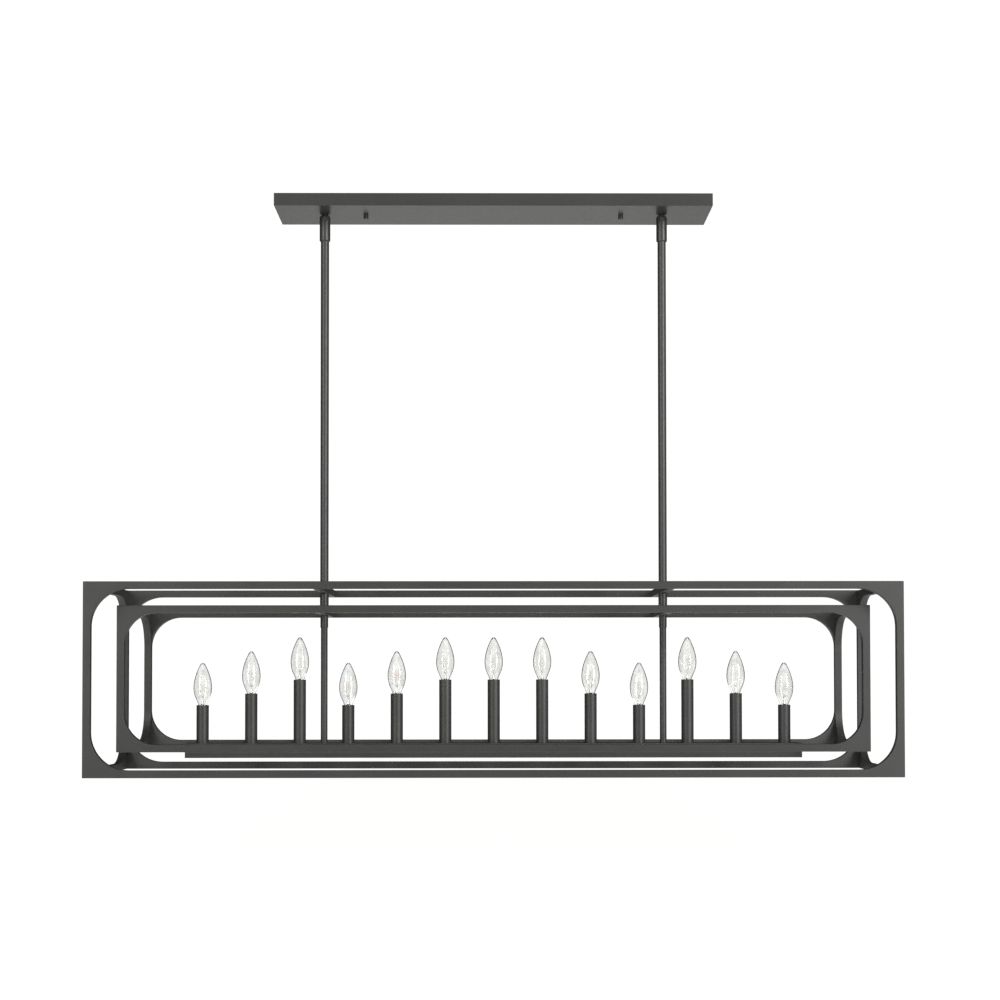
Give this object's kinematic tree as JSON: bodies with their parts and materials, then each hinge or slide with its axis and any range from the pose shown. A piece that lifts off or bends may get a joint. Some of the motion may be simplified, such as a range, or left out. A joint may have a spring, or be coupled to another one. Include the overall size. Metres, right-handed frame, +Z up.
{
  "type": "linear island pendant",
  "caption": "Long ceiling pendant: two nested open box frames with rounded window corners around a row of clear candle lamps, hung on straight rods from a flat canopy.",
  "frame": {"origin": "ceiling plane at the middle of the canopy, centre of the strap's two slots", "axes": "+X along the pendant, +Y to its back, +Z up into the ceiling"},
  "size_m": [1.3716, 0.3302, 1.0075],
  "materials": {
    "black_powder_coat": "matte charcoal powder coat on steel",
    "canopy_paint": "satin charcoal powder coat on steel",
    "zinc_steel": "zinc plated steel",
    "shell_brass": "bare brass screw shell",
    "socket_plastic": "moulded phenolic",
    "wire_sheath": "PVC wire sheath",
    "connector_plastic": "moulded twist-on connector",
    "lamp_glass": "clear blown glass"
  },
  "bodies": {
    "canopy": {"ball_stems": "zinc_steel", "canopy_leads": "wire_sheath", "canopy_pan": "canopy_paint", "canopy_studs": "zinc_steel", "ground_screw": "zinc_steel", "mounting_strap": "zinc_steel", "stem_nuts": "zinc_steel", "stem_washers": "zinc_steel", "stud_nuts": "zinc_steel", "wire_connectors": "connector_plastic"},
    "pendant": {"cage_collars": "black_powder_coat", "cage_spacers": "black_powder_coat", "candle_sleeves": "black_powder_coat", "cover_screws": "zinc_steel", "cover_standoffs": "zinc_steel", "inner_corner_webs": "black_powder_coat", "inner_cross_bars": "black_powder_coat", "inner_end_rails": "black_powder_coat", "inner_long_rails": "black_powder_coat", "inner_posts": "black_powder_coat", "knuckle_nipples": "zinc_steel", "lock_screws": "black_powder_coat", "lower_stems": "black_powder_coat", "outer_corner_webs": "black_powder_coat", "outer_cross_bars": "black_powder_coat", "outer_end_rails": "black_powder_coat", "outer_long_rails": "black_powder_coat", "outer_posts": "black_powder_coat", "rod_bushings": "zinc_steel", "rods": "black_powder_coat", "socket_bodies": "socket_plastic", "socket_contacts": "shell_brass", "socket_nuts": "zinc_steel", "socket_posts": "zinc_steel", "socket_shells": "shell_brass", "swivel_knuckles": "black_powder_coat", "through_nipples": "zinc_steel", "tray_channel": "black_powder_coat", "tray_cover": "black_powder_coat", "tray_leads": "wire_sheath", "tray_nipples": "zinc_steel", "tray_nuts": "zinc_steel"},
    "cap_knob_left_body": {"cap_knob_left": "canopy_paint"},
    "cap_knob_right_body": {"cap_knob_right": "canopy_paint"},
    "lamp_01_body": {"lamp_01": "lamp_glass"},
    "lamp_02_body": {"lamp_02": "lamp_glass"},
    "lamp_03_body": {"lamp_03": "lamp_glass"},
    "lamp_04_body": {"lamp_04": "lamp_glass"},
    "lamp_05_body": {"lamp_05": "lamp_glass"},
    "lamp_06_body": {"lamp_06": "lamp_glass"},
    "lamp_07_body": {"lamp_07": "lamp_glass"},
    "lamp_08_body": {"lamp_08": "lamp_glass"},
    "lamp_09_body": {"lamp_09": "lamp_glass"},
    "lamp_10_body": {"lamp_10": "lamp_glass"},
    "lamp_11_body": {"lamp_11": "lamp_glass"},
    "lamp_12_body": {"lamp_12": "lamp_glass"},
    "lamp_13_body": {"lamp_13": "lamp_glass"}
  },
  "joints": [
    {"name": "swing", "type": "hinge", "parent": "canopy", "child": "pendant", "pos_m": [0, 0, -0.033], "axis": [1, 0, 0], "range_deg": [-15, 15]},
    {"name": "cap_knob_left_unscrew", "type": "slide", "parent": "canopy", "child": "cap_knob_left_body", "axis": [0, 0, 1], "range_m": [-0.012, 0]},
    {"name": "cap_knob_right_unscrew", "type": "slide", "parent": "canopy", "child": "cap_knob_right_body", "axis": [0, 0, 1], "range_m": [-0.012, 0]},
    {"name": "lamp_01_unscrew", "type": "slide", "parent": "pendant", "child": "lamp_01_body", "axis": [0, 0, 1], "range_m": [0, 0.035]},
    {"name": "lamp_02_unscrew", "type": "slide", "parent": "pendant", "child": "lamp_02_body", "axis": [0, 0, 1], "range_m": [0, 0.035]},
    {"name": "lamp_03_unscrew", "type": "slide", "parent": "pendant", "child": "lamp_03_body", "axis": [0, 0, 1], "range_m": [0, 0.035]},
    {"name": "lamp_04_unscrew", "type": "slide", "parent": "pendant", "child": "lamp_04_body", "axis": [0, 0, 1], "range_m": [0, 0.035]},
    {"name": "lamp_05_unscrew", "type": "slide", "parent": "pendant", "child": "lamp_05_body", "axis": [0, 0, 1], "range_m": [0, 0.035]},
    {"name": "lamp_06_unscrew", "type": "slide", "parent": "pendant", "child": "lamp_06_body", "axis": [0, 0, 1], "range_m": [0, 0.035]},
    {"name": "lamp_07_unscrew", "type": "slide", "parent": "pendant", "child": "lamp_07_body", "axis": [0, 0, 1], "range_m": [0, 0.035]},
    {"name": "lamp_08_unscrew", "type": "slide", "parent": "pendant", "child": "lamp_08_body", "axis": [0, 0, 1], "range_m": [0, 0.035]},
    {"name": "lamp_09_unscrew", "type": "slide", "parent": "pendant", "child": "lamp_09_body", "axis": [0, 0, 1], "range_m": [0, 0.035]},
    {"name": "lamp_10_unscrew", "type": "slide", "parent": "pendant", "child": "lamp_10_body", "axis": [0, 0, 1], "range_m": [0, 0.035]},
    {"name": "lamp_11_unscrew", "type": "slide", "parent": "pendant", "child": "lamp_11_body", "axis": [0, 0, 1], "range_m": [0, 0.035]},
    {"name": "lamp_12_unscrew", "type": "slide", "parent": "pendant", "child": "lamp_12_body", "axis": [0, 0, 1], "range_m": [0, 0.035]},
    {"name": "lamp_13_unscrew", "type": "slide", "parent": "pendant", "child": "lamp_13_body", "axis": [0, 0, 1], "range_m": [0, 0.035]}
  ]
}
